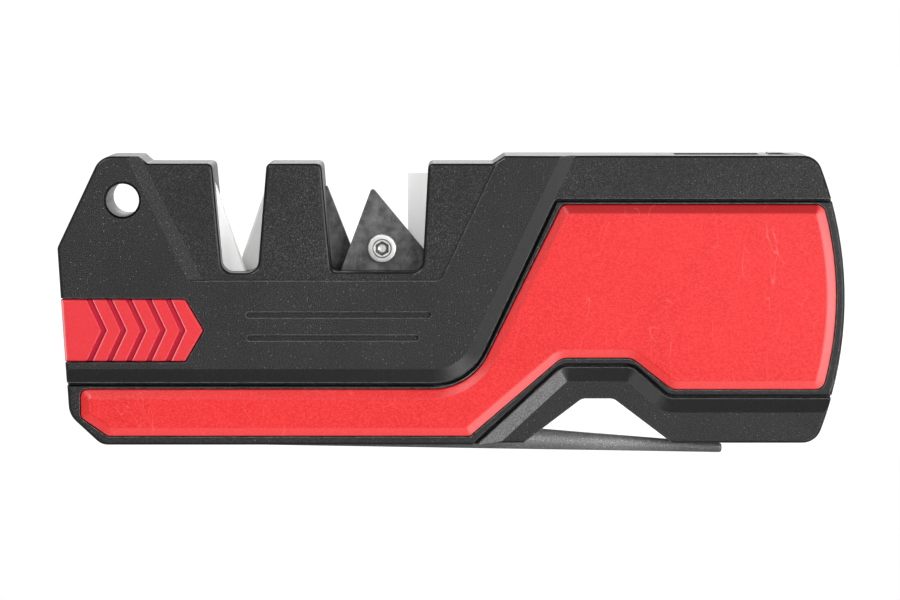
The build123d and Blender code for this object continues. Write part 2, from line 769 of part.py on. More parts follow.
# Whistle: a chamber that is open upwards, and a mouthpiece with the wind channel
with BuildPart() as chamber:
    with BuildSketch(Plane.XZ):
        outline([(whistle_start, whistle_floor_z), (whistle_start, casing_top),
                 (whistle_end, casing_top), (whistle_end, whistle_floor_z)], [0, 0, 0, 0])
    extrude(amount=whistle_width / 2, both=True)
    with BuildSketch(Plane.XZ):
        left, low = whistle_start + whistle_wall, whistle_floor_z + whistle_floor
        outline([(left, low), (left, casing_top - labium_chamfer),
                 (left - labium_chamfer, casing_top), (whistle_end, casing_top),
                 (whistle_end, low)], [0, 0, 0, 0, 0])
    extrude(amount=whistle_width / 2 - whistle_side_wall, both=True, mode=Mode.SUBTRACT)
chamber.part.label = "whistle_chamber"
export_step(chamber.part, "parts/whistle_chamber.step")

with BuildPart() as mouthpiece:
    with BuildSketch(Plane.XZ):
        left, low = whistle_end, whistle_floor_z
        outline([(left, low), (left, casing_top), (beyond, casing_top), (beyond, low)],
                [0, 0, 0, 0])
        with BuildSketch(mode=Mode.INTERSECT):
            silhouette()
    extrude(amount=whistle_width / 2, both=True)
    with BuildSketch(Plane.XZ):
        left, high = whistle_end + lip_inset, casing_top + lip_rise
        outline([(left, casing_top), (left, high), (left + lip_crest, high),
                 (left + lip_length, casing_top)], [0, 0, 0, 0])
    extrude(amount=wind_width / 2, both=True)
    with BuildSketch(Plane.YZ.offset(whistle_end)):
        with Locations((0, casing_top - wind_roof - wind_height / 2)):
            Rectangle(wind_width, wind_height)
    extrude(amount=body_length / 2, mode=Mode.SUBTRACT)
mouthpiece.part.label = "whistle_mouthpiece"
export_step(mouthpiece.part, "parts/whistle_mouthpiece.step")
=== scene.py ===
# %% [markdown]
# A pocket knife sharpener, dressed for its portrait.
# The construction model gives every piece its true size and place, and it is loaded here as
# a fixed frame. This lesson then gives the pieces what a drawing leaves out: rounded mould
# edges, grain, wear and light. Blender works in metres, so sizes in millimetres are
# multiplied by `mm`.

# %% Load the fixed frame
import json
from math import cos, pi, radians, sin

import bpy
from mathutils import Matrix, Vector

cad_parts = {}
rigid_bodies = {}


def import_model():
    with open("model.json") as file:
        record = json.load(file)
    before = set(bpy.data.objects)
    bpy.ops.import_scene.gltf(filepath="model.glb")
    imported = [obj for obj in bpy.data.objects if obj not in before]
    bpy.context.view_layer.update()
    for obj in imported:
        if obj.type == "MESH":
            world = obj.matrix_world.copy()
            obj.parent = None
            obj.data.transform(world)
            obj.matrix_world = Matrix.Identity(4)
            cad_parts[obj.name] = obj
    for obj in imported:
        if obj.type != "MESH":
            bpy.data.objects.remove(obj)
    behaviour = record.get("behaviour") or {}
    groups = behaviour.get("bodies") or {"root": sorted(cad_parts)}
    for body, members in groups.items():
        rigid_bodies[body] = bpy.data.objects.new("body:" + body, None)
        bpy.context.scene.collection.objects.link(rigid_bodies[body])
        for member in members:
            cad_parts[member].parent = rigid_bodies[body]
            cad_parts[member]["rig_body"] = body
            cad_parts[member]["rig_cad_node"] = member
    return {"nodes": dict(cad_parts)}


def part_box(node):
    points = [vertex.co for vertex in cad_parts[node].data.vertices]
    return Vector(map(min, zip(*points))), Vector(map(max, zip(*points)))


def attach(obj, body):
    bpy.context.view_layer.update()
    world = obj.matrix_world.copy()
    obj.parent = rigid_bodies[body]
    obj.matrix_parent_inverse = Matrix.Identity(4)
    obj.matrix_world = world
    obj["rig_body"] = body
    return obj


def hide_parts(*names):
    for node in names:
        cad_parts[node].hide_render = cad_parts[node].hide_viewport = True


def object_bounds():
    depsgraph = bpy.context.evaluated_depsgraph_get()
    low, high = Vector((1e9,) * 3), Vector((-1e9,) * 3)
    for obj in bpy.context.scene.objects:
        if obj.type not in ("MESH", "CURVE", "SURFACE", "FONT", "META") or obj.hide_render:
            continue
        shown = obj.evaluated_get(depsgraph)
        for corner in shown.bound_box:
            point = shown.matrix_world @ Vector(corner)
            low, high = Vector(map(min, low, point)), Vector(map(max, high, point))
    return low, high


mm = 0.001
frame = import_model()
nodes = frame["nodes"]
cad_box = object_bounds()

# %% [markdown]
# Materials are sums of patterns: a little noise for the grain of the mould, a few spots of
# dust, a pale line along an edge for wear and a painted highlight. Node trees for such sums
# get long when each Math node is added by hand. Here a small class wraps a socket and
# overloads the signs of arithmetic, so that a pattern reads like a formula, and every other
# node comes from one method. Where a pattern takes two bare numbers, its mask starts at the
# first and is full at the second.

# %% A socket that can be added and multiplied


class Signal:
    """The output of a node. Arithmetic on it adds Math nodes to its net."""

    def __init__(self, net, socket):
        self.net = net
        self.socket = socket

    def maths(self, operation, first, second=0.0):
        inputs = {0: first, 1: second}
        return self.net.node("ShaderNodeMath", {"operation": operation}, inputs)

    def __add__(self, other):
        return self.maths("ADD", self, other)

    def __sub__(self, other):
        return self.maths("SUBTRACT", self, other)

    def __rsub__(self, other):
        return self.maths("SUBTRACT", other, self)

    def __mul__(self, other):
        return self.maths("MULTIPLY", self, other)

    def __truediv__(self, other):
        return self.maths("DIVIDE", self, other)

    def __pow__(self, other):
        return self.maths("POWER", self, other)

    def __lt__(self, other):
        return self.maths("LESS_THAN", self, other)

    def __abs__(self):
        return self.maths("ABSOLUTE", self)

    __radd__ = __add__
    __rmul__ = __mul__


print("signals can be added, subtracted, multiplied, divided, raised and compared")

# %% [markdown]
# Materials and the white tent round the object are both node trees. So the method that adds
# a node stands in a class of its own, and both can use it.

# %% A net of nodes, for a material or for the world


class Net:
    """A node tree that is built node by node."""

    def __init__(self, tree):
        self.tree = tree

    def node(self, kind, settings=None, inputs=None, output=0):
        """Add a node, set its settings, then fill or link its inputs."""
        made = self.tree.nodes.new(kind)
        for name, value in (settings or {}).items():
            setattr(made, name, value)
        for name, value in (inputs or {}).items():
            if isinstance(value, Signal):
                self.tree.links.new(value.socket, made.inputs[name])
            else:
                made.inputs[name].default_value = value
        return Signal(self, made.outputs[output])

    def part(self, vector, axis):
        """One coordinate of a vector."""
        return self.node("ShaderNodeSeparateXYZ", {}, {"Vector": vector}, output=axis)

    def ramp(self, signal, low, high, start=0.0, end=1.0):
        """The value start below low, end above high, and a straight slope between."""
        inputs = {"Value": signal, "From Min": low, "From Max": high,
                  "To Min": start, "To Max": end}
        return self.node("ShaderNodeMapRange", {"clamp": True}, inputs)


print("a net adds nodes and returns their signals")

# %% [markdown]
# Real surfaces vary at several sizes at once. Each method below makes one such pattern as a
# mask: grain, specks of dust, hairline scratches, edges for wear and a painted highlight, or
# faces that look one way.
# Painted textures could show the same, but they need unwrapped meshes. These patterns take
# the place on the piece itself, and so they stay on it when it moves.

# %% A material and its patterns

# Noise is flat in planes that pass through its lattice. This shift keeps the flat faces of
# the pieces, which lie at round measures, off those planes.
lattice_shift = (0.31, 0.37, 0.43)
speck_rim = 0.3                   # the soft rim of a speck, as a share of its radius
scratch_stretch = 0.3             # below 1, cells and scratches are longer along Z
sway_scale = 2.2                  # waves of the bending noise in each cell of scratches
cut_scale = 1.9                   # waves of the noise that cuts scratches short
cut_slope = 0.05                  # how soft the ends of scratches are


class Finish(Net):
    """One material with a Principled shader, and the patterns that several finishes share."""

    def __init__(self, name, roughness=0.5, metallic=0.0, specular=0.5):
        self.material = bpy.data.materials.new(name)
        self.material.use_nodes = True
        super().__init__(self.material.node_tree)
        self.shader = self.tree.nodes["Principled BSDF"]
        self.shader.inputs["Roughness"].default_value = roughness
        self.shader.inputs["Metallic"].default_value = metallic
        self.shader.inputs["Specular IOR Level"].default_value = specular
        self.place = self.node("ShaderNodeTexCoord", output="Object")

    def feed(self, name, signal):
        """Link a signal to an input of the shader."""
        self.tree.links.new(signal.socket, self.shader.inputs[name])

    def bump(self, height, depth, strength):
        """Raise the surface by height, as far as depth, in metres."""
        inputs = {"Height": height, "Distance": depth, "Strength": strength}
        self.feed("Normal", self.node("ShaderNodeBump", {}, inputs))

    def blend(self, mask, under, over):
        """One colour under, another over it where the mask is 1."""
        return self.node("ShaderNodeMix", {"data_type": "RGBA"},
                         {"Factor": mask, 6: under, 7: over}, output=2)

    def axis(self, name):
        """The place along one axis, in metres."""
        return self.part(self.place, name)

    def look(self, axis):
        """How far the surface looks along an axis, from -1 to 1."""
        return self.part(self.node("ShaderNodeNewGeometry", output="True Normal"), axis)

    def facing(self, axis, low, high):
        """1 where the surface looks along an axis, either way."""
        return self.ramp(abs(self.look(axis)), low, high)

    def leaning(self, axis, low, high):
        """1 where the surface leans towards an axis; a negative low and high count backwards."""
        return self.ramp(self.look(axis), low, high)

    def edges(self, radius, low=0.02, high=0.2):
        """1 on sharp edges: there a rounded normal leaves the true one."""
        soft = self.node("ShaderNodeBevel", {"samples": 4}, {"Radius": radius})
        hard = self.node("ShaderNodeNewGeometry", output="True Normal")
        same = self.node("ShaderNodeVectorMath", {"operation": "DOT_PRODUCT"},
                         {0: soft, 1: hard}, output="Value")
        return self.ramp(1 - same, low, high)

    def noise(self, size, detail=2.0, stretch=(1, 1, 1), roughness=0.5):
        """Soft noise with features about as large as size, longer along a stretched axis."""
        scale = [1 / (size * s) for s in stretch]
        where = self.node("ShaderNodeMapping", {}, {
            "Vector": self.place, "Scale": scale, "Location": lattice_shift})
        return self.node("ShaderNodeTexNoise", {}, {
            "Vector": where, "Scale": 1.0, "Detail": detail, "Roughness": roughness})

    def specks(self, spacing, size, share):
        """Round specks, so far apart, in a share of the cells."""
        settings = {"feature": "F1"}
        inputs = {"Vector": self.place, "Scale": 1 / spacing}
        reach = self.node("ShaderNodeTexVoronoi", settings, inputs, output="Distance")
        shade = self.node("ShaderNodeTexVoronoi", settings, inputs, output="Color")
        chosen = self.node("ShaderNodeSeparateColor", {}, {"Color": shade}) < share
        return self.ramp(size / spacing - reach, 0.0, speck_rim * size / spacing) * chosen

    def hairlines(self, size, width, share, turn, bend=0.0):
        """Thin scratches: borders between large cells, bent and cut short by noises."""
        where = self.node("ShaderNodeMapping", {}, {
            "Vector": self.place, "Rotation": (0, turn, 0),
            "Scale": (1 / size, 1 / size, scratch_stretch / size)})
        if bend:
            sway = self.node("ShaderNodeTexNoise", {}, {
                "Vector": where, "Scale": sway_scale, "Detail": 0.0}, output="Color")
            where = self.node("ShaderNodeVectorMath", {"operation": "MULTIPLY_ADD"},
                              {0: sway, 1: (bend, bend, bend), 2: where})
        reach = self.node("ShaderNodeTexVoronoi", {"feature": "DISTANCE_TO_EDGE"},
                          {"Vector": where, "Scale": 1.0})
        cut = self.node("ShaderNodeTexNoise", {}, {
            "Vector": where, "Scale": cut_scale, "Detail": 1.0})
        line = 1 - self.ramp(reach, 0.0, width / size)
        return line * self.ramp(cut, 1 - share, 1 - share + cut_slope)


def grey(shade):
    """A colour without hue."""
    return (shade, shade, shade, 1)


print("a finish starts as a Principled shader and gets its patterns one by one")

# %% [markdown]
# Tools for meshes. A piece of the frame stays as it is. Where the real piece has softer
# edges than its drawing, a copy is cleaned up, its edges are rounded with a Bevel modifier,
# and the copy stands for the node. A Weighted Normal modifier then keeps large faces flat
# to the eye. An alternative is a shader that only fakes round edges, but real rounding
# holds in a mesh file too.

# %% Helpers for selecting and finishing
weld_gap = 0.002 * mm
flat_angle = radians(0.3)         # edges below it are left over from the mesh, not real
soft_angle = radians(35)          # edges below it are shaded smooth


def deselect():
    bpy.ops.object.select_all(action="DESELECT")


def activate(piece):
    deselect()
    piece.select_set(True)
    bpy.context.view_layer.objects.active = piece


def apply_modifier(piece, kind, **settings):
    """Add a modifier, set it and apply it."""
    activate(piece)
    modifier = piece.modifiers.new(kind.lower(), kind)
    for name, value in settings.items():
        setattr(modifier, name, value)
    bpy.ops.object.modifier_apply(modifier=modifier.name)


def smooth(piece):
    """Smooth shading over soft edges, with large faces kept flat."""
    activate(piece)
    bpy.ops.object.shade_smooth_by_angle(angle=soft_angle)
    apply_modifier(piece, "WEIGHTED_NORMAL", keep_sharp=True, weight=80)


def dress(piece, finish):
    piece.data.materials.clear()
    piece.data.materials.append(finish.material)


def coat(node, finish):
    """Give a node of the frame, whose shape is right as it is, its finish."""
    for slot in nodes[node].material_slots:
        slot.material = finish.material
    print(node, "keeps its shape")


def settle(piece, name, body, finish, replaced):
    """Name a finished piece, let it ride on its body and stand for its node."""
    piece.name = name
    piece.data.name = name
    activate(piece)
    bpy.ops.object.transform_apply(location=True, rotation=True, scale=True)
    dress(piece, finish)
    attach(piece, body)
    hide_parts(*replaced)
    print(name, len(piece.data.polygons), "faces, rides on", body)


def soften(node, width, finish, segments=2, angle=28):
    """Copy a node, round its edges sharper than angle and let the copy stand for it."""
    piece = nodes[node].copy()
    piece.data = nodes[node].data.copy()
    bpy.context.scene.collection.objects.link(piece)
    piece.parent = None
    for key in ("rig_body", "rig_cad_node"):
        del piece[key]
    activate(piece)
    bpy.ops.mesh.customdata_custom_splitnormals_clear()
    bpy.ops.object.mode_set(mode="EDIT")
    bpy.ops.mesh.select_all(action="SELECT")
    bpy.ops.mesh.remove_doubles(threshold=weld_gap)
    bpy.ops.mesh.dissolve_limited(angle_limit=flat_angle)
    bpy.ops.object.mode_set(mode="OBJECT")
    apply_modifier(piece, "BEVEL", width=width, segments=segments, limit_method="ANGLE",
                   angle_limit=radians(angle), use_clamp_overlap=False)
    smooth(piece)
    body = nodes[node]["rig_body"]
    settle(piece, node + "_softened", body, finish, [node])


print("helpers ready")

# %% [markdown]
# Black moulded plastic. The broad faces carry a fine spark-eroded grain that holds pale
# dust, while slopes and rims came smoother from the mould. Their edges are pale from wear
# and from a painted highlight. So the grain is masked by the way a face looks, and the wear
# and highlight by sharp edges. The one bank that leans left and up, beside the finger arch,
# gets a painted grey highlight, broken by the grain.

# %% Black plastic of casings and frames
grain_dark, grain_pale = 0.0030, 0.066
# Besides the dust, these greys are painted highlight: the bank's fully, the rubbed edges' along
# with wear.
dust_grey, bank_highlight_grey, rubbed_and_highlight_grey = grey(0.33), grey(0.17), grey(0.30)


def black_plastic(name, tone, edge_paling):
    """Grainy black plastic; tone scales how light its grain is, and the last argument how pale
    its edges are, from wear and a painted highlight.
    """
    finish = Finish(name, specular=0.38)
    broad = finish.facing("Y", 0.955, 0.985)
    rough = 0.22 + 0.78 * broad
    grain = finish.noise(0.15 * mm, detail=1.0, roughness=0.6)
    cloud = finish.ramp(finish.noise(11 * mm, detail=3.0), 0.3, 0.7)
    fine_dust = finish.specks(0.50 * mm, 0.075 * mm, 0.36)
    coarse_dust = finish.specks(2.6 * mm, 0.11 * mm, 0.20)
    patches = finish.ramp(finish.noise(0.6 * mm), 0.28, 0.54)
    # Pale edges: wear and a painted highlight along sharp edges, broken into patches.
    edge_wear_and_highlight = finish.edges(0.20 * mm, 0.03, 0.22) * patches
    pale = finish.ramp(grain, 0.46, 0.72) * rough * (0.5 + 0.5 * cloud)
    black = finish.blend(pale, grey(grain_dark * tone), grey(grain_pale * tone))
    dust = (fine_dust + coarse_dust) * (0.25 + 0.45 * cloud) * broad
    black = finish.blend(dust, black, dust_grey)
    # Painted highlight: faces that lean left and up are greyed as if lit from the upper left,
    # broken by the grain.
    bank = finish.leaning("X", -0.12, -0.19) * finish.leaning("Z", 0.15, 0.24)
    bank = bank * finish.facing("Y", 0.90, 0.93)
    bank_highlight = bank * (0.25 + 0.75 * finish.ramp(grain, 0.35, 0.65))
    black = finish.blend(bank_highlight, black, bank_highlight_grey)
    finish.feed("Base Color", finish.blend(edge_wear_and_highlight * edge_paling, black, rubbed_and_highlight_grey))
    finish.feed("Roughness", 0.30 + 0.10 * grain + 0.14 * broad)
    finish.bump(grain * rough, 0.035 * mm, 0.7)
    return finish


casing_black = black_plastic("casing_black", 1.0, 0.6)
frame_black = black_plastic("frame_black", 0.85, 0.95)
whistle_black = black_plastic("whistle_black", 1.0, 0.35)
print("black plastic with grain, dust and worn edges")

# %% [markdown]
# The red inlays are a soft-touch skin with a grain like fine leather: a fine noise that is
# longer along X, over wide, faint clouds. The scratches in it are short curls. They are the
# borders of large cells, bent by one noise and cut short by another. The upper rim gets
# painted shade, and the rims that look right or down get a painted pale highlight.

# %% Red inlay
skin_dull, skin_bright = (0.66, 0.012, 0.013, 1), (0.73, 0.015, 0.016, 1)
skin_grain, skin_smudge = (0.86, 0.042, 0.043, 1), (0.52, 0.020, 0.023, 1)
# The shade colour is painted shade and the rubbed colour a painted highlight, both for the rims.
skin_shade, skin_highlight = (0.33, 0.006, 0.008, 1), (1.0, 0.16, 0.16, 1)
skin_scratch = (1.0, 0.30, 0.30, 1)


def soft_red():
    finish = Finish("soft_touch_red", specular=0.45)
    leather = finish.noise(0.17 * mm, stretch=(1.6, 1, 1), roughness=0.6)
    cloud = finish.noise(14 * mm)
    smudge = finish.ramp(finish.noise(5 * mm, detail=4.0), 0.66, 0.80)
    scratch = (finish.hairlines(5.0 * mm, 0.035 * mm, 0.46, 0.9, bend=0.8)
               + finish.hairlines(7.0 * mm, 0.035 * mm, 0.45, -0.7, bend=1.0))
    dust = finish.specks(3.4 * mm, 0.08 * mm, 0.20)
    red = finish.blend(finish.ramp(cloud, 0.3, 0.7), skin_dull, skin_bright)
    red = finish.blend(finish.ramp(leather, 0.40, 0.66) * 0.8, red, skin_grain)
    red = finish.blend(smudge * 0.3, red, skin_smudge)
    # Painted shade on rims that look up, only high on the panel and not where they look right.
    shade = finish.leaning("Z", 0.10, 0.42) * finish.leaning("X", 0.30, 0.10)
    shade = shade * finish.ramp(finish.axis("Z"), 14 * mm, 34 * mm)
    red = finish.blend(shade * 0.85, red, skin_shade)
    # Painted highlight on rims that look right or down.
    rim_highlight = finish.leaning("X", 0.10, 0.38) + finish.leaning("Z", -0.22, -0.40) * 0.4
    red = finish.blend(rim_highlight * 0.55, red, skin_highlight)
    red = finish.blend(scratch * 0.26 + dust * 0.5, red, skin_scratch)
    finish.feed("Base Color", red)
    finish.feed("Roughness", 0.32 + 0.12 * leather)
    finish.bump(leather - 0.3 * scratch, 0.022 * mm, 0.6)
    return finish


panel_red = soft_red()
print("soft red skin")

# %% [markdown]
# The pull handle is hard plastic of a slightly cooler red. Light that bounces between the
# walls of its grooves turns deeper and purer, which a plain shader shows only in part, so
# the floor of the grooves is painted a deeper crimson, by its depth under the face. Edges
# that lean to the left catch the light and are painted paler.

# %% Red pull handle
handle_dull, handle_bright = (0.70, 0.024, 0.034, 1), (0.82, 0.055, 0.062, 1)
handle_groove, handle_pale = (0.46, 0.0, 0.024, 1), (1.0, 0.46, 0.48, 1)
groove_deepest = 2.0 * mm         # what lies deeper isn't a groove but the handle's side


def hard_red():
    finish = Finish("handle_red", specular=0.4)
    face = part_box("striker_handle")[1].y
    depth = face - abs(finish.axis("Y"))
    groove = finish.ramp(depth, 0.12 * mm, 0.42 * mm)
    groove = groove * finish.ramp(groove_deepest - depth, 0.0, 1.0 * mm)
    grain = finish.noise(0.22 * mm, roughness=0.6)
    patches = finish.ramp(finish.noise(0.8 * mm), 0.30, 0.55)
    edge_wear_and_highlight = finish.edges(0.22 * mm, 0.01, 0.12) * patches
    lit = finish.leaning("X", -0.12, -0.45) * finish.facing("Y", 0.25, 0.45)
    red = finish.blend(finish.ramp(grain, 0.4, 0.75) * 0.4, handle_dull, handle_bright)
    red = finish.blend(groove, red, handle_groove)
    # Painted highlight with some wear: pale sharp edges and edges that lean left, outside the
    # grooves.
    red = finish.blend((edge_wear_and_highlight * 0.45 + lit * 0.75) * (1 - groove), red, handle_pale)
    finish.feed("Base Color", red)
    finish.feed("Roughness", 0.38 + 0.12 * grain + 0.3 * groove)
    finish.bump(grain, 0.03 * mm, 0.5)
    return finish


handle_red = hard_red()
print("hard red plastic with crimson grooves")

# %% [markdown]
# Ceramic is white, dense and ground, with a soft sheen. It gets a painted glow, an emission
# that stands in for the light that reaches into the slots and grows towards the top of the
# slot. Steel dust from blades greys it a little. The carbide inserts are ground metal,
# mottled, with wipe marks and tiny chips.

# %% Ceramic and carbide
ceramic_streak, ceramic_pit = (0.62, 0.61, 0.60, 1), (0.30, 0.29, 0.28, 1)


def ceramic(name, base, low_painted_glow, high_painted_glow):
    """White ceramic with a painted glow, an emission standing in for light in the slot, from
    low, at the slot's floor, to high.
    """
    finish = Finish(name, roughness=0.42)
    floor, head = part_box("front_ceramic_stick")
    # Painted light: the emission stands in for light reaching the sticks, weaker towards the
    # floor.
    rise = finish.ramp(finish.axis("Z"), floor.z, head.z)
    painted_glow = finish.blend(rise, grey(low_painted_glow), grey(high_painted_glow))
    finish.feed("Emission Color", painted_glow)
    finish.shader.inputs["Emission Strength"].default_value = 1.0
    grain = finish.noise(0.12 * mm)
    streak = finish.noise(1.6 * mm, detail=3.0, stretch=(1, 1, 3))
    pits = finish.specks(2.2 * mm, 0.07 * mm, 0.35)
    white = finish.blend(finish.ramp(streak, 0.45, 0.8) * 0.15, base, ceramic_streak)
    finish.feed("Base Color", finish.blend(pits * 0.6, white, ceramic_pit))
    finish.bump(grain, 0.01 * mm, 0.4)
    return finish


def ground_carbide():
    finish = Finish("ground_carbide", metallic=0.75)
    mottle = finish.noise(1.5 * mm, detail=5.0, roughness=0.6)
    wipe = finish.noise(0.9 * mm, detail=3.0, stretch=(0.4, 1, 4))
    scratch = finish.hairlines(2.5 * mm, 0.03 * mm, 0.45, 0.9)
    chips = finish.specks(1.3 * mm, 0.06 * mm, 0.25)
    grinding = finish.noise(0.18 * mm, stretch=(1, 1, 6))
    metal = finish.blend(finish.ramp(mottle, 0.35, 0.68), (0.085, 0.085, 0.086, 1),
                         (0.19, 0.19, 0.191, 1))
    metal = finish.blend(finish.ramp(wipe, 0.58, 0.8) * 0.4, metal, grey(0.27))
    metal = finish.blend(scratch * 0.4 + chips * 0.6, metal, grey(0.36))
    finish.feed("Base Color", metal)
    finish.feed("Roughness", 0.34 + 0.18 * mottle)
    finish.bump(grinding, 0.006 * mm, 0.5)
    return finish


# The last two numbers are the painted glow at the slot's floor and at the top.
front_white = ceramic("front_stick_ceramic", (0.90, 0.90, 0.89, 1), 0.28, 0.36)
rear_white = ceramic("rear_stick_ceramic", (0.88, 0.88, 0.87, 1), 0.0, 0.20)
block_white = ceramic("block_ceramic", (0.86, 0.86, 0.85, 1), 0.02, 0.38)
insert_grey = ground_carbide()
print("ceramic and carbide")

# %% [markdown]
# Metals. The insert screws are turned, so their faces show rings about the screw's axis,
# and painted shade darkens the wall of the dished ring and the hexagon socket. The rod
# carries diamond grit in nickel: it glitters grey and looks dusty. Pivot screw and casing
# screws are blackened, the washers are brass, and the striker is a dark coated rod.

# %% Steel, grit, brass and the striker
# The second colour is painted shade for the hollows of the screw heads.
steel_stain, steel_hollow_shade = (0.50, 0.49, 0.48, 1), grey(0.03)
socket_ring = (0.52 * mm, 0.66 * mm)      # painted shade in the socket starts at the cone's rim
socket_reach = 1.3 * mm                   # and ends past the corners of the hexagon
edge_shine = 2.0                          # how much brighter worn metal is


def turned_steel(name, shade, centres, dish, face):
    """Steel with turning rings about the nearest of the screws' centres (X, Z).

    Painted shade darkens the wall of a dish of this radius and the socket, in heads whose
    faces lie at face.
    """
    finish = Finish(name, metallic=1.0)
    rings = None
    for x, z in centres:
        across, up = finish.axis("X") - x, finish.axis("Z") - z
        reach = (across * across + up * up) ** 0.5
        rings = reach if rings is None else rings.maths("MINIMUM", rings, reach)
    turned = finish.node("ShaderNodeTexNoise", {"noise_dimensions": "1D"},
                         {"W": rings / (0.09 * mm), "Scale": 1.0, "Detail": 2.0})
    stain = finish.noise(0.8 * mm, detail=3.0)
    steel = finish.blend(finish.ramp(stain, 0.4, 0.75) * 0.5, shade, steel_stain)
    depth = face - abs(finish.axis("Y"))
    well = finish.ramp(depth, 0.2 * mm, 0.4 * mm) * finish.ramp(rings, *socket_ring)
    # Painted shade: darker along the wall of the dish and down in the socket.
    hollow_shade = (finish.ramp(0.13 * mm - abs(rings - dish), 0.0, 0.07 * mm)
            + well * finish.ramp(socket_reach - rings, 0.0, 0.1 * mm))
    finish.feed("Base Color", finish.blend(hollow_shade * 0.85, steel, steel_hollow_shade))
    finish.feed("Roughness", 0.34 + 0.20 * turned)
    finish.bump(turned, 0.010 * mm, 0.7)
    return finish


def plain_metal(name, shade, dull, roughness, metallic=1.0, grain=0.3):
    finish = Finish(name, metallic=metallic)
    stain = finish.noise(1.3 * mm, detail=4.0)
    tumble = finish.noise(grain * mm)
    # Bright edges: wear, with a painted highlight.
    edge_wear_and_highlight = finish.edges(0.12 * mm) * 0.5
    shine = [min(1.0, edge_shine * part) for part in shade[:3]] + [1]
    metal = finish.blend(finish.ramp(stain, 0.35, 0.7), shade, dull)
    finish.feed("Base Color", finish.blend(edge_wear_and_highlight, metal, shine))
    finish.feed("Roughness", roughness + 0.15 * stain)
    finish.bump(tumble, 0.012 * mm, 0.5)
    return finish


def diamond_grit():
    finish = Finish("diamond_grit", metallic=0.40, specular=0.6)
    grit = finish.noise(0.16 * mm, detail=3.0, roughness=0.7)
    glint = finish.specks(0.32 * mm, 0.09 * mm, 0.30)
    streak = finish.noise(2.5 * mm, detail=3.0, stretch=(4, 1, 1))
    chips = finish.specks(2.0 * mm, 0.28 * mm, 0.07)
    metal = finish.blend(finish.ramp(grit, 0.35, 0.65), (0.19, 0.19, 0.188, 1),
                         (0.45, 0.45, 0.446, 1))
    metal = finish.blend(finish.ramp(streak, 0.45, 0.75) * 0.4, metal, grey(0.22))
    metal = finish.blend(glint * 0.8, metal, grey(0.85))
    finish.feed("Base Color", finish.blend(chips, metal, grey(0.05)))
    finish.feed("Roughness", 0.42 + 0.25 * grit)
    finish.bump(grit, 0.06 * mm, 0.9)
    return finish


grit_grey = diamond_grit()
black_steel = plain_metal("black_oxide", (0.030, 0.030, 0.031, 1), (0.055, 0.053, 0.050, 1),
                          0.32)
hub_grey = plain_metal("hub_steel", (0.34, 0.34, 0.345, 1), (0.24, 0.235, 0.23, 1), 0.36)
plate_grey = plain_metal("plate_steel", (0.42, 0.42, 0.43, 1), (0.30, 0.30, 0.30, 1), 0.35)
washer_brass = plain_metal("washer_brass", (0.66, 0.47, 0.20, 1), (0.48, 0.34, 0.15, 1), 0.30)
striker_dark = plain_metal("striker_coat", (0.055, 0.052, 0.050, 1), (0.10, 0.095, 0.09, 1),
                           0.50, metallic=0.6, grain=0.25)
print("metals")

# %% [markdown]
# Casings, frames, the rod and its hub have their radii in the construction already, so they
# keep their shape and only take a finish. Panels, handle and the small pieces get a rounded
# copy.

# %% Moulded pieces
coat("front_casing", casing_black)
coat("rear_casing", casing_black)
coat("front_grip_frame", frame_black)
coat("rear_grip_frame", frame_black)
coat("whistle_chamber", whistle_black)
coat("diamond_rod", grit_grey)
soften("front_grip_panel", 0.22 * mm, panel_red, segments=3, angle=15)
soften("rear_grip_panel", 0.22 * mm, panel_red, segments=3, angle=15)
soften("striker_handle", 0.18 * mm, handle_red, segments=3)
soften("whistle_mouthpiece", 0.12 * mm, whistle_black)

# %% [markdown]
# The sticks and the guide block are ground bars and the inserts are ground plates, so their
# edges are nearly sharp. A radius of 0.05 to 0.08 mm is enough for a thin line of light
# along them. The heads of screws come rounder from the press.

# %% Ceramic, carbide and metal pieces
soften("front_ceramic_stick", 0.06 * mm, front_white)
soften("rear_ceramic_stick", 0.06 * mm, rear_white)
soften("guide_block", 0.08 * mm, block_white)
soften("front_carbide_insert", 0.05 * mm, insert_grey)
soften("rear_carbide_insert", 0.05 * mm, insert_grey)
soften("carbide_holder", 0.08 * mm, plate_grey)
coat("rod_hub", hub_grey)
soften("rod_washers", 0.06 * mm, washer_brass)
soften("striker_rod", 0.08 * mm, striker_dark)
soften("casing_screws", 0.12 * mm, black_steel)
soften("rod_pivot_screw", 0.12 * mm, black_steel)

# %% [markdown]
# The insert screws show their whole face in the photograph: a chamfered rim, a flat turned
# ring, a dished ring and a hexagon socket that ends in a drilled cone. One screw is shaped
# from a cylinder in edit mode, and its copy is turned round for the rear insert.

# %% Insert screws
head_radius = 2.2 * mm
head_height = 1.6 * mm
head_sides = 72
shank_radius = 1.25 * mm
shank_length = 3.9 * mm
rim_chamfer = 0.16 * mm
dish_radius = 1.38 * mm
dish_depth = 0.10 * mm
dish_wall = 0.5 * dish_depth      # how far the wall of the dish runs inwards
hex_across = 2.0 * mm
hex_depth = 0.85 * mm
cone_radius = 0.33 * hex_across
cone_depth = 0.40 * mm
cone_middle = hex_depth + 0.45 * cone_depth
cone_sides = 48
edge_break = 0.03 * mm


def faces_at(piece, side, inside=None):
    """Select the faces that look along Y towards side, within a radius of the piece's middle."""
    bpy.ops.mesh.select_all(action="DESELECT")
    bpy.ops.object.mode_set(mode="OBJECT")
    for face in piece.data.polygons:
        near = inside is None or Vector((face.center.x, face.center.z)).length < inside
        face.select = face.normal.y * side > 0.9 and near
    bpy.ops.object.mode_set(mode="EDIT")


def push(distance):
    """Extrude the selected faces along Y."""
    bpy.ops.mesh.extrude_region_move(TRANSFORM_OT_translate={"value": (0, distance, 0)})


def cut(piece, tool):
    """Take one piece out of another and remove it."""
    apply_modifier(piece, "BOOLEAN", object=tool, operation="DIFFERENCE", solver="EXACT")
    bpy.data.objects.remove(tool)


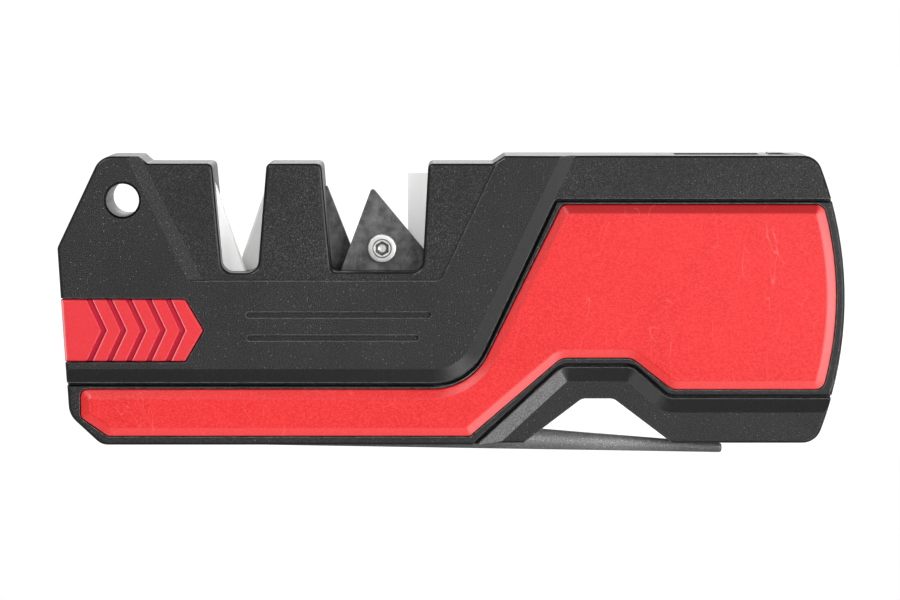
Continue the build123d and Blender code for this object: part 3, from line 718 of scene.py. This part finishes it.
def socket_screw():
    """A screw about the origin of X and Z, its head's face at Y zero and looking to -Y."""
    deselect()
    bpy.ops.mesh.primitive_cylinder_add(vertices=head_sides, radius=head_radius,
                                        depth=head_height, location=(0, head_height / 2, 0),
                                        rotation=(pi / 2, 0, 0))
    screw = bpy.context.object
    bpy.ops.object.transform_apply(location=True, rotation=True, scale=True)
    bpy.ops.object.mode_set(mode="EDIT")
    bpy.ops.mesh.select_mode(type="FACE")
    faces_at(screw, 1)
    bpy.ops.mesh.inset(thickness=head_radius - shank_radius)
    push(shank_length)
    faces_at(screw, -1)
    bpy.ops.mesh.bevel(offset=rim_chamfer, segments=3, affect="EDGES")
    faces_at(screw, -1, inside=0.1 * mm)
    bpy.ops.mesh.inset(thickness=head_radius - rim_chamfer - dish_radius)
    bpy.ops.mesh.inset(thickness=dish_wall)
    push(dish_depth)
    bpy.ops.object.mode_set(mode="OBJECT")
    deselect()
    bpy.ops.mesh.primitive_cylinder_add(vertices=6, radius=hex_across / 2 / cos(pi / 6),
                                        depth=2 * hex_depth, location=(0, 0, 0),
                                        rotation=(pi / 2, 0, 0))
    cut(screw, bpy.context.object)
    deselect()
    bpy.ops.mesh.primitive_cone_add(vertices=cone_sides, radius1=cone_radius, radius2=0,
                                    depth=cone_depth, rotation=(-pi / 2, 0, 0),
                                    location=(0, cone_middle, 0))
    cut(screw, bpy.context.object)
    apply_modifier(screw, "BEVEL", width=edge_break, segments=2, limit_method="ANGLE",
                   angle_limit=radians(40))
    return screw


screw_low, screw_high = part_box("carbide_screws")
centres = [(screw_high.x - head_radius, screw_low.z + head_radius),
           (screw_low.x + head_radius, screw_high.z - head_radius)]
screw_steel = turned_steel("screw_steel_turned", (0.76, 0.76, 0.75, 1), centres, dish_radius,
                           screw_high.y)
front_screw = socket_screw()
rear_screw = front_screw.copy()
rear_screw.data = front_screw.data.copy()
bpy.context.scene.collection.objects.link(rear_screw)
front_screw.location = (centres[0][0], screw_low.y, centres[0][1])
rear_screw.location = (centres[1][0], screw_high.y, centres[1][1])
rear_screw.rotation_euler.z = pi
activate(front_screw)
rear_screw.select_set(True)
bpy.ops.object.transform_apply(location=True, rotation=True, scale=True)
bpy.ops.object.join()
smooth(front_screw)
settle(front_screw, "insert_screws_turned", nodes["carbide_screws"]["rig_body"],
       screw_steel, ["carbide_screws"])

# %% [markdown]
# The portrait: a long lens a few degrees above the table, straight at the front face. An
# orthographic camera would be simpler, but it would hide the walls of the slots and of the
# lanyard hole, which turn into view towards the sides.

# %% Camera
sensor_width = 36.0
view_width = 137.03 * mm          # what the frame takes in at the front face
view_distance = 805.0 * mm
view_rise = radians(3.1)
front_face, table_height = cad_box[0][1], cad_box[0][2]
aim_across, aim_height = -0.2 * mm, 24.0 * mm
target = Vector((aim_across, front_face, aim_height))
offset = Vector((0, -cos(view_rise), sin(view_rise))) * view_distance
camera_data = bpy.data.cameras.new("camera")
camera_data.sensor_width = sensor_width
camera_data.lens = sensor_width * view_distance / view_width
camera_data.clip_start = 0.01
camera = bpy.data.objects.new("camera", camera_data)
bpy.context.scene.collection.objects.link(camera)
camera.location = target + offset
camera.rotation_euler = (-offset).to_track_quat("-Z", "Y").to_euler()
bpy.context.scene.camera = camera
bpy.context.scene.view_settings.view_transform = "Standard"
print("lens", round(camera_data.lens, 1), "mm")

# %% [markdown]
# The light is that of a white tent with five lamps. The four in front stand well off the
# line of sight, because a lamp whose mirror image falls into the lens veils black plastic
# with grey. One of them looks up past the table's front edge and lights the lower banks.
# The tent is bright behind the object, dimmer in front and dark overhead in front, which
# leaves dark bands under the upper edges.

# %% Lamps
body_middle = Vector((0, 0, aim_height))


def lamp(name, azimuth, rise, distance, size, strength):
    """A square area lamp that looks at the middle of the body.

    Azimuth, to the right of the camera, and rise are in degrees, distance and size in
    metres, strength in watts.
    """
    data = bpy.data.lights.new(name, "AREA")
    data.shape = "SQUARE"
    data.size = size
    data.energy = strength
    thing = bpy.data.objects.new(name, data)
    bpy.context.scene.collection.objects.link(thing)
    turn, up = radians(azimuth), radians(rise)
    away = Vector((sin(turn) * cos(up), -cos(turn) * cos(up), sin(up)))
    thing.location = body_middle + away * distance
    thing.rotation_euler = (-away).to_track_quat("-Z", "Y").to_euler()


lamp("front_lamp", 27, 8, 0.9, 0.40, 2.7)
lamp("high_left_lamp", -25, 31, 0.9, 0.24, 2.9)
lamp("right_lamp", 48, -3, 0.9, 0.22, 2.5)
lamp("low_right_lamp", 28, -38, 0.9, 0.22, 1.9)
lamp("back_lamp", 170, 35, 1.2, 0.6, 5.0)
print("five lamps")

# %% [markdown]
# The tent is a formula too. It takes the direction of a ray: how far it points up and how
# far it points behind the object. Rays from the camera see plain white instead.

# %% Tent
roof, front_wall = 0.10, 0.42             # how bright they are, where the back wall has 1
roof_slope = (0.15, 0.65)                 # how far up a ray points where the roof darkens
back_slope, front_slope = (0.0, 0.35), (0.0, 0.4)
world = bpy.data.worlds.new("tent")
bpy.context.scene.world = world
world.use_nodes = True
tent = Net(world.node_tree)
direction = tent.node("ShaderNodeTexCoord", output="Generated")
up, behind = tent.part(direction, "Z"), tent.part(direction, "Y")
overhead = tent.ramp(up, *roof_slope, 1.0, roof)
ambient = overhead.maths("MAXIMUM", overhead, tent.ramp(behind, *back_slope))
ambient = ambient * tent.ramp(behind, *front_slope, front_wall, 1.0)
seen = tent.node("ShaderNodeLightPath", output="Is Camera Ray")
strength = tent.node("ShaderNodeMix", {}, {"Factor": seen, "A": ambient, "B": 1.0}, "Result")
background = world.node_tree.nodes["Background"]
background.inputs["Color"].default_value = (1, 1, 1, 1)
tent.tree.links.new(strength.socket, background.inputs["Strength"])
print("tent")

# %% [markdown]
# The object stands on white paper that can't be told from the white behind it. A plain white
# plane would look grey in places, so the paper also glows, mostly for the rays that come
# from the camera. It ends just in front of the body, so the low lamp can shine past it.

# %% Table
table_size = 6.0
table_edge = front_face - 1.0 * mm        # it ends just before the body
white_level = 1.22                        # of the paper as the camera sees it
white_share, white_seen = 0.1, 0.75       # glow for every ray, and more for the camera's
deselect()
bpy.ops.mesh.primitive_plane_add(size=table_size,
                                 location=(0, table_edge + table_size / 2, table_height))
table = bpy.context.object
table.name = "table"
paper = Finish("table_paper", roughness=0.8, specular=0.2)
fibre = paper.noise(2.0 * mm, detail=3.0)
paper.feed("Base Color", paper.blend(fibre, grey(0.88), grey(0.92)))
white = paper.node("ShaderNodeEmission", {}, {"Color": grey(1), "Strength": white_level},
                   "Emission")
lit = Signal(paper, paper.shader.outputs["BSDF"])
seen = paper.node("ShaderNodeLightPath", output="Is Camera Ray")
shown = paper.node("ShaderNodeMixShader", {},
                   {"Fac": white_share + white_seen * seen, 1: lit, 2: white}, "Shader")
paper.tree.links.new(shown.socket, paper.tree.nodes["Material Output"].inputs["Surface"])
dress(table, paper)
print("table")
